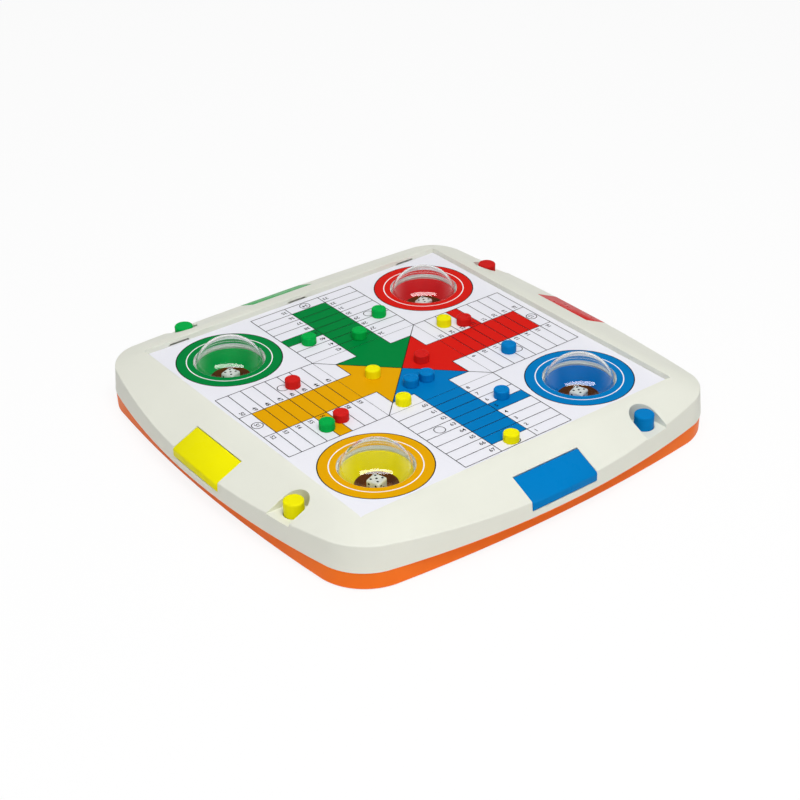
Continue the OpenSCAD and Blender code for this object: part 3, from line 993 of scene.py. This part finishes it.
    def bands(self, name: str, centre: Vector, radii: Sequence[float], sides: int) -> Piece:
        """Flat round bands, one inside the other.

        Args:
            name: their name.
            centre: their middle.
            radii: their edges, from the outside inwards.
            sides: corners of each circle.

        Returns:
            The bands as one object.
        """
        bpy.ops.mesh.primitive_circle_add(vertices=sides, radius=radii[0], fill_type="NOTHING",
                                          location=centre)
        obj = added(name)
        with edit(obj, whole=True):
            for last, radius in zip(radii, radii[1:]):
                grow(centre, radius / last)
        face_up(obj)
        smooth(obj)
        return obj

    def arrow(self) -> Piece:
        """The blue arrow's head and the neck that joins it to the lane."""
        a, d, w = self.arm_half, self.head, self.lane
        neck = plane("neck", (0, -(a + d) / 2, self.ink_z), (2 * w, a - d))
        tip = plane("tip", (0, -d / 2, self.ink_z), (2 * d, d))
        with edit(tip):
            pick(tip, Part.EDGE, lambda e: all(v.co.y > -d / 2 for v in e.verts))
            bpy.ops.mesh.merge(type="CENTER")
        return joined([neck, tip], "arrow")

    def ring(self) -> Piece:
        """The blue ring: a dark outline, a broad colour and a thin white circle in it."""
        halo_out = self.halo_r + self.halo_w / 2
        halo_in = self.halo_r - self.halo_w / 2
        radii = (self.ring_r + self.ring_line, self.ring_r, halo_out, halo_in, self.hole_r)
        centre = Vector((self.ring_pos, -self.ring_pos, self.ink_z))
        obj = self.bands("ring", centre, radii, self.ring_sides)
        for finish in (INK_BLACK, INK_WHITE, INK_WHITE):
            obj.data.materials.append(finish.material())
        for f in obj.data.polygons:
            r = (f.center - centre).length
            f.material_index = 0 if r > self.ring_r else 2 if halo_in < r < halo_out else 1
        return obj

    def number(self, value: int, x: float, y: float, player: Player) -> Piece:
        """One plain number.

        Args:
            value: what it says.
            x: place across the player's arm.
            y: place along it.
            player: whose arm it is on, and who reads it.

        Returns:
            The number as a flat mesh.
        """
        bpy.ops.object.text_add()
        text = bpy.context.object
        text.data.body = str(value)
        text.data.size = self.digit
        text.data.offset = self.digit_stroke
        text.data.resolution_u = self.digit_steps
        text.data.align_x = "CENTER"
        text.data.align_y = "CENTER"
        take(text)
        bpy.ops.object.convert(target="MESH")
        obj = added(f"number_{value}")
        obj.data.transform(player.turn @ Matrix.Translation((x, y, self.line_z)))
        return obj

    def numbers(self) -> Piece:
        """All numbers of the track, each on the square's side next to the lane."""
        made = []
        beside = self.lane + self.digit_gap
        for player in Player:
            first = player.value * self.track // len(Player)
            spots = [(0, 0, 1)]
            for row in range(1, self.rows + 1):
                spots += [(row, beside, row), (-row, -beside, row)]
            for step, x, row in spots:
                value = (first + step - 1) % self.track + 1
                made.append(self.number(value, x, self.row_y(row), player))
        return joined(made, "print_numbers")


@dataclass
class DiceBowl:
    """A clear dome over a coloured bowl, whose well is painted dark brown: painted shade for the shade down
    in the well.
    """

    player: Player
    place: float = 102.3 * MM
    dome_r: float = 30.5 * MM
    dome_t: float = 1.6 * MM
    dome_z: float = 31.0 * MM
    rim_top: float = 38.8 * MM
    rim_t: float = 1.6 * MM
    rim_r: float = 33.5 * MM
    well_r: float = 17.2 * MM
    well_top: float = 25.0 * MM
    skin: float = 0.05 * MM
    seam: float = 0.02 * MM
    sides: int = 96
    rings: int = 64

    def build(self) -> None:
        """Makes the dome and the bowl."""
        tag = self.player.tag
        dome = self.dome()
        dome.data.transform(self.player.turn)
        seat(dome, "case", "clear_plastic", None, [f"dome_{tag}"])
        bowl = from_node(f"cup_{tag}", f"dice_bowl_{tag}")
        middle = self.player.turn @ Vector((self.place, -self.place, 0))
        # The well's faces get the dark brown painted shade
        two_tone(bowl, self.player.bowl, WELL_SHADE, lambda f: f.center.z < self.well_top + self.skin
                 and (f.center - middle).xy.length < self.well_r + self.skin)
        seat(bowl, "case", f"{tag}_plastic", None, [f"cup_{tag}"])

    def cap(self, radius: float, cut: float, name: str) -> Piece:
        """The part of a sphere over a level cut.

        Args:
            radius: the sphere's radius.
            cut: height of the cut.
            name: its name.

        Returns:
            The open cap.
        """
        centre = (self.place, -self.place, self.dome_z)
        bpy.ops.mesh.primitive_uv_sphere_add(segments=self.sides, ring_count=self.rings, radius=radius,
                                             location=centre)
        obj = added(name)
        smooth(obj)
        with edit(obj, whole=True):
            bpy.ops.mesh.bisect(plane_co=(0, 0, cut), plane_no=(0, 0, 1), clear_inner=True)
        return obj

    def dome(self) -> Piece:
        """The clear dome with its flat rim, one closed shell; the rim and the wall inside it are milky."""
        name = f"dice_dome_{self.player.tag}"
        low = self.rim_top - self.rim_t
        inner_r = self.dome_r - self.dome_t
        centre = Vector((self.place, -self.place, 0))
        mouth = math.sqrt(self.dome_r ** 2 - (self.rim_top - self.dome_z) ** 2)
        foot = math.sqrt(inner_r ** 2 - (low - self.dome_z) ** 2)
        outside = self.cap(self.dome_r, self.rim_top, name)
        with edit(outside):
            pick(outside, Part.EDGE, lambda e: e.is_boundary)
            for share, rise in ((self.rim_r / mouth, 0), (1, -self.rim_t), (foot / self.rim_r, 0)):
                grow(centre, share, rise)
        inside = self.cap(inner_r, low, "inside")
        with edit(inside, whole=True):
            bpy.ops.mesh.bisect(plane_co=(0, 0, self.rim_top), plane_no=(0, 0, 1))
        both = joined([outside, inside], name)
        with edit(both, whole=True):
            bpy.ops.mesh.remove_doubles(threshold=self.seam)
            bpy.ops.mesh.normals_make_consistent(inside=False)
        smooth(both, SOFT_CREASE)
        two_tone(both, CLEAR, MILKY, lambda f: f.center.z < self.rim_top + self.skin)
        return both


@dataclass
class DiceSet:
    """The four dice: rounded cubes with sunk pips, modelled once."""

    width: float = 12 * MM
    edge: float = 1.7 * MM
    edge_steps: int = 5
    pip_r: float = 1.15 * MM
    pip_sink: float = 0.55 * MM
    pip_step: float = 3.1 * MM
    pip_sides: int = 16
    pip_rings: int = 10
    weld: float = 0.005 * MM
    twist: float = math.radians(20)

    def pip_spots(self) -> Iterator[tuple[Vector, Vector]]:
        """Where the pips of the six faces are, and which way they face."""
        c, s = 0.0, self.pip_step
        corners = [(-s, -s), (s, s), (-s, s), (s, -s)]
        layouts = {1: [(c, c)],
                   2: corners[:2],
                   3: [(c, c), *corners[:2]],
                   4: corners,
                   5: [(c, c), *corners],
                   6: [*corners, (-s, c), (s, c)]}
        up = Vector((0, 0, 1))
        faces = {5: (0, 0, 1), 2: (0, 0, -1), 3: (1, 0, 0), 4: (-1, 0, 0), 1: (0, 1, 0), 6: (0, -1, 0)}
        for value, way in faces.items():
            out = Vector(way)
            turn = up.rotation_difference(out).to_matrix()
            for x, y in layouts[value]:
                yield turn @ Vector((x, y, self.width / 2)), out

    def model(self) -> Piece:
        """One die round the origin, with its pips cut in."""
        bpy.ops.mesh.primitive_cube_add(size=self.width)
        die = added("die_model")
        finish_modifier(die, "BEVEL", width=self.edge, segments=self.edge_steps, limit_method="NONE")
        die.data.materials.append(DICE_WHITE.material())
        balls = []
        for spot, out in self.pip_spots():
            bpy.ops.mesh.primitive_uv_sphere_add(segments=self.pip_sides, ring_count=self.pip_rings,
                                                 radius=self.pip_r,
                                                 location=spot + out * (self.pip_r - self.pip_sink))
            balls.append(added("pip"))
        cutter = joined(balls, "pips")
        smooth(cutter)
        cutter.data.materials.append(PIP_BLACK.material())
        finish_modifier(die, "BOOLEAN", operation="DIFFERENCE", object=cutter, solver="EXACT",
                        material_mode="TRANSFER")
        scrap(cutter)
        with edit(die, whole=True):
            bpy.ops.mesh.remove_doubles(threshold=self.weld)
            bpy.ops.mesh.quads_convert_to_tris(quad_method="BEAUTY", ngon_method="BEAUTY")
            bpy.ops.mesh.dissolve_degenerate(threshold=self.weld)
        smooth(die, SOFT_CREASE)
        return die

    def build(self) -> None:
        """Puts a die in each bowl."""
        model = self.model()
        for player in Player:
            node = f"die_{player.tag}"
            low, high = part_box(node)
            move = Matrix.Translation((low + high) / 2) @ player.turn @ Matrix.Rotation(self.twist, 4, "Z")
            seat(copied(model, f"white_{node}", move), node, "white_plastic", None, [node])
        scrap(model)


@dataclass
class TossDrive:
    """What tosses the die: button, return spring, rocker and its pin."""

    player: Player
    place: float = 102.3 * MM
    out: float = 176.3 * MM
    button_r: float = 7.9 * MM
    button_top: float = 43.1 * MM
    button_sides: int = 72
    collar_r: float = 9.1 * MM
    collar_z: float = 15.8 * MM
    collar_t: float = 2.0 * MM
    wall: float = 1.6 * MM
    cap_t: float = 2.5 * MM
    top_round: float = 1.3 * MM
    top_steps: int = 5
    coil_r: float = 4.75 * MM
    wire_r: float = 0.45 * MM
    wire_sides: int = 10
    turns: int = 8
    turn_steps: int = 28
    coil_low: float = 3.4 * MM
    coil_crease: float = 50
    travel: float = 5.0 * MM
    plate_low: float = 15.9 * MM
    rocker_edge: float = 0.3 * MM
    pin_edge: float = 0.2 * MM

    def build(self) -> None:
        """Makes the four pieces of one drive."""
        tag = self.player.tag
        seat(self.button(), f"button_{tag}", f"{tag}_plastic", self.player.plastic, [f"button_{tag}"])
        spring = self.spring()
        seat(spring, "case", "spring_steel", STEEL, [f"spring_{tag}"])
        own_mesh(spring)
        lever = from_node(f"toss_lever_{tag}", f"rocker_{tag}", edge=self.rocker_edge)
        # The rocker's plate, which floors the well, gets the dark brown painted shade
        two_tone(lever, self.player.bowl, WELL_SHADE, lambda f: f.center.z > self.plate_low)
        seat(lever, f"toss_lever_{tag}", f"{tag}_plastic", None, [f"toss_lever_{tag}"])
        pin = from_node(f"lever_pin_{tag}", f"rocker_pin_{tag}", edge=self.pin_edge)
        seat(pin, "case", "spring_steel", STEEL, [f"lever_pin_{tag}"])

    def button(self) -> Piece:
        """The hollow button: a rounded cap, its collar and its bore."""
        height = self.button_top - self.collar_z
        bpy.ops.mesh.primitive_cylinder_add(vertices=self.button_sides, radius=self.button_r, depth=height,
                                            location=(self.place, -self.out, self.collar_z + height / 2))
        obj = added(f"push_button_{self.player.tag}")
        smooth(obj)
        centre = Vector((self.place, -self.out, 0))
        collar_top = self.collar_z + self.collar_t

        def is_collar(f: Face) -> bool:
            """Whether a face is the wall under the collar's top."""
            return abs(f.normal.z) < STEEP and f.calc_center_median().z < collar_top

        def is_base(f: Face) -> bool:
            """Whether a face is the round one at the bottom."""
            low = f.calc_center_median().z < self.collar_z + NEAR
            return low and f.normal.z < -LEVEL and len(f.verts) > MANY_CORNERS

        def is_brow(e: Edge) -> bool:
            """Whether an edge goes round the top."""
            far_out = all((v.co - centre).xy.length > self.button_r - NEAR for v in e.verts)
            return far_out and over(e, self.button_top - NEAR)

        with edit(obj, whole=True):
            bpy.ops.mesh.bisect(plane_co=(0, 0, collar_top), plane_no=(0, 0, 1))
            pick(obj, Part.FACE, is_collar)
            bpy.ops.mesh.extrude_region_shrink_fatten(
                TRANSFORM_OT_shrink_fatten={"value": self.collar_r - self.button_r})
            pick(obj, Part.FACE, is_base)
            bpy.ops.mesh.inset(thickness=self.wall)
            grow(centre, rise=height - self.cap_t)
            round_edges(obj, is_brow, self.top_round, self.top_steps)
        smooth(obj, SOFT_CREASE)
        obj.data.transform(self.player.turn)
        return obj

    def spring(self) -> Piece:
        """The return spring: a round wire turned up its axis."""
        height = self.button_top - self.cap_t - self.coil_low - 2 * self.wire_r
        bpy.ops.mesh.primitive_circle_add(vertices=self.wire_sides, radius=self.wire_r, fill_type="NOTHING",
                                          location=(self.coil_r, 0, 0), rotation=(math.pi / 2, 0, 0))
        obj = added(f"return_spring_{self.player.tag}")
        smooth(obj)
        finish_modifier(obj, "SCREW", axis="Z", angle=2 * math.pi, screw_offset=height / self.turns,
                        iterations=self.turns, steps=self.turn_steps, render_steps=self.turn_steps,
                        use_merge_vertices=False)
        with edit(obj):
            pick(obj, Part.EDGE, lambda e: e.is_boundary)
            bpy.ops.mesh.edge_face_add()
            bpy.ops.mesh.select_all(action="SELECT")
            bpy.ops.mesh.normals_make_consistent(inside=False)
        spot = Matrix.Translation((self.place, -self.out, self.coil_low + self.wire_r))
        obj.data.transform(self.player.turn @ spot)
        smooth(obj, self.coil_crease)
        return obj


@dataclass
class PocketLid:
    """The hinged lid over a player's pocket, its edges broken."""

    player: Player
    edge: float = 0.35 * MM

    def build(self) -> None:
        """Makes the lid."""
        tag = self.player.tag
        lid = from_node(f"lid_{tag}", f"pocket_lid_{tag}", SOFT_CREASE, self.edge)
        seat(lid, f"lid_{tag}", f"{tag}_plastic", self.player.plastic, [f"lid_{tag}"])


@dataclass
class PlayingPieces:
    """The sixteen loose pieces: short round pieces with a rounded rim and a faintly sunk top."""

    count: int = 4
    radius: float = 6.375 * MM
    height: float = 7.5 * MM
    sides: int = 64
    rim: float = 1.2 * MM
    rim_steps: int = 5
    foot: float = 0.5 * MM
    foot_steps: int = 2
    dish_rim: float = 2.0 * MM
    dish: float = 0.25 * MM

    def model(self) -> Piece:
        """One piece, standing at the origin."""
        bpy.ops.mesh.primitive_cylinder_add(vertices=self.sides, radius=self.radius, depth=self.height,
                                            location=(0, 0, self.height / 2))
        obj = added("piece_model")
        smooth(obj)
        with edit(obj):
            round_edges(obj, lambda e: under(e, NEAR), self.foot, self.foot_steps)
            round_edges(obj, lambda e: over(e, self.height - NEAR), self.rim, self.rim_steps)
            pick(obj, Part.FACE, lambda f: f.normal.z > LEVEL and len(f.verts) > MANY_CORNERS)
            bpy.ops.mesh.inset(thickness=self.dish_rim)
            bpy.ops.mesh.inset(thickness=self.dish)
            bpy.ops.transform.translate(value=(0, 0, -self.dish))
        smooth(obj, SOFT_CREASE)
        return obj

    def build(self) -> None:
        """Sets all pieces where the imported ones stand."""
        model = self.model()
        for player in Player:
            for k in range(1, self.count + 1):
                node = f"token_{player.tag}_{k}"
                low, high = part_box(node)
                foot = Vector(((low.x + high.x) / 2, (low.y + high.y) / 2, low.z))
                piece = copied(model, f"piece_{player.tag}_{k}", Matrix.Translation(foot))
                seat(piece, node, f"{player.tag}_plastic", player.plastic, [node])
        scrap(model)


# Studio


class Shine(Enum):
    """What a lamp is there for."""

    SHADE = "to light the surfaces"
    GLOSS = "to be seen in gloss and glass"


@dataclass(frozen=True)
class SoftLight:
    """A soft oblong lamp that looks at the middle of the board."""

    name: str
    place: tuple[float, float, float]
    wide: float
    high: float
    power: float
    shine: Shine

    def build(self) -> None:
        """Hangs the lamp."""
        lamp = bpy.data.lights.new(self.name, "AREA")
        lamp.shape = "RECTANGLE"
        lamp.size = self.wide
        lamp.size_y = self.high
        lamp.energy = self.power
        obj = bpy.data.objects.new(self.name, lamp)
        bpy.context.scene.collection.objects.link(obj)
        obj.visible_diffuse = self.shine is Shine.SHADE
        obj.visible_glossy = self.shine is Shine.GLOSS
        obj.visible_transmission = False
        obj.location = self.place
        obj.rotation_euler = (-Vector(self.place)).to_track_quat("-Z", "Y").to_euler()


@dataclass(frozen=True)
class Studio:
    """Floor, world, lamps and the camera that stands where the photograph was taken from."""

    azimuth: float = math.radians(-36.6152)
    elevation: float = math.radians(31.1493)
    roll: float = math.radians(-1.3208)
    focal: float = 1598.55
    frame_px: float = 800
    sensor: float = 36
    near_clip: float = 0.05
    aside: float = 1.6 * MM
    above: float = 26.23 * MM
    away: float = 1310.15 * MM
    board_z: float = 42 * MM
    floor_half: float = 8.0
    floor_lit: float = 0.85
    floor_seen: float = 0.96
    floor_glow: float = 0.88
    world_light: float = 0.305
    dim: float = 0.2
    bright: float = 0.7
    sky_fade: Span = (0.6, 0.15)
    far_fade: Span = (-0.3, 0.25)
    lamps: tuple[SoftLight, ...] = (
        SoftLight("key_light", (-0.25, -0.75, 2.0), 1.0, 1.0, 25.4, Shine.SHADE),
        SoftLight("side_light", (-0.715, -0.964, 1.29), 2.2, 0.25, 6.2, Shine.SHADE),
        SoftLight("back_light", (0.6, 1.2, 1.1), 1.5, 0.8, 3.2, Shine.SHADE),
        SoftLight("strip_light", (-0.70, -0.944, 1.263), 3.4, 0.4, 50, Shine.GLOSS),
    )

    def build(self) -> None:
        """Sets up the studio."""
        scene = bpy.context.scene
        scene.view_settings.view_transform = "Standard"
        self.floor()
        self.world(scene)
        for lamp in self.lamps:
            lamp.build()
        self.camera(scene)

    def seen(self, desk: NodeDesk) -> Socket:
        """A value that is 1 for what camera, mirrors and glass see, and 0 for what lights the object."""
        path = desk.add("LightPath")
        total = path.outputs["Is Camera Ray"]
        for ray in ("Is Glossy Ray", "Is Transmission Ray"):
            total = desk.combine("MAXIMUM", total, path.outputs[ray])
        return total

    def floor(self) -> None:
        """Lays a pale floor that keeps a light shadow."""
        bpy.ops.mesh.primitive_plane_add(size=2 * self.floor_half)
        floor = added("floor")
        material = bpy.data.materials.new("floor_white")
        material.use_nodes = True
        desk = NodeDesk(material.node_tree)
        lit, pale = (desk.add("BsdfDiffuse", Color=(s, s, s, 1)) for s in (self.floor_lit, self.floor_seen))
        shown = desk.mixed(self.floor_glow, pale, desk.add("Emission"))
        whole = desk.mixed(self.seen(desk), lit, shown)
        desk.add("OutputMaterial", Surface=whole.outputs["Shader"])
        floor.data.materials.append(material)
        floor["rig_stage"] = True

    def world(self, scene: bpy.types.Scene) -> None:
        """Fills the room with even light and shows it white; gloss sees it pale behind the board only."""
        room = bpy.data.worlds.new("room")
        scene.world = room
        room.use_nodes = True
        desk = NodeDesk(room.node_tree)
        way = desk.add("TexCoord").outputs["Generated"]
        far = (-math.sin(self.azimuth), math.cos(self.azimuth), 0)
        shares = []
        for towards, (start, full) in (((0, 0, 1), self.sky_fade), (far, self.far_fade)):
            along = desk.add("VectorMath", way, towards)
            along.operation = "DOT_PRODUCT"
            share = desk.add("MapRange", Value=along.outputs["Value"], From_Min=start, From_Max=full,
                             To_Min=self.dim, To_Max=self.bright)
            shares.append(share.outputs["Result"])
        gloss = desk.combine("MULTIPLY", *shares)
        level = desk.combine("MAXIMUM", gloss, desk.add("LightPath").outputs["Is Camera Ray"])
        light, white = (desk.add("Background", Color=(1, 1, 1, 1), Strength=strength)
                        for strength in (self.world_light, level))
        mix = desk.mixed(self.seen(desk), light, white)
        desk.add("OutputWorld", Surface=mix.outputs["Shader"])

    def camera(self, scene: bpy.types.Scene) -> None:
        """Stands the camera where the photograph's perspective puts it."""
        a, e = self.azimuth, self.elevation
        back = Vector((math.sin(a) * math.cos(e), -math.cos(a) * math.cos(e), math.sin(e)))
        level = Vector((math.cos(a), math.sin(a), 0))
        upright = back.cross(level)
        right = level * math.cos(self.roll) + upright * math.sin(self.roll)
        up = upright * math.cos(self.roll) - level * math.sin(self.roll)
        data = bpy.data.cameras.new("camera")
        data.sensor_width = self.sensor
        data.lens = self.focal / self.frame_px * self.sensor
        data.clip_start = self.near_clip
        obj = bpy.data.objects.new("camera", data)
        scene.collection.objects.link(obj)
        spot = Vector((0, 0, self.board_z)) - right * self.aside - up * self.above + back * self.away
        obj.matrix_world = Matrix.Translation(spot) @ Matrix((right, up, back)).transposed().to_4x4()
        scene.camera = obj


def note_size() -> None:
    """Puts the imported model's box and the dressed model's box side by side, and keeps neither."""
    boxes = {"cad": CAD_BOX, "visual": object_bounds()}
    {name: [list(corner) for corner in box] for name, box in boxes.items()}


def main() -> None:
    """Builds the board piece by piece and sets it in the studio."""
    logging.basicConfig(level=logging.INFO, format="%(name)s: %(message)s")
    MouldedCase().build()
    PlaySheet().build()
    for player in Player:
        DiceBowl(player).build()
        TossDrive(player).build()
        PocketLid(player).build()
    DiceSet().build()
    PlayingPieces().build()
    Studio().build()
    note_size()


if __name__ == "__main__":
    main()
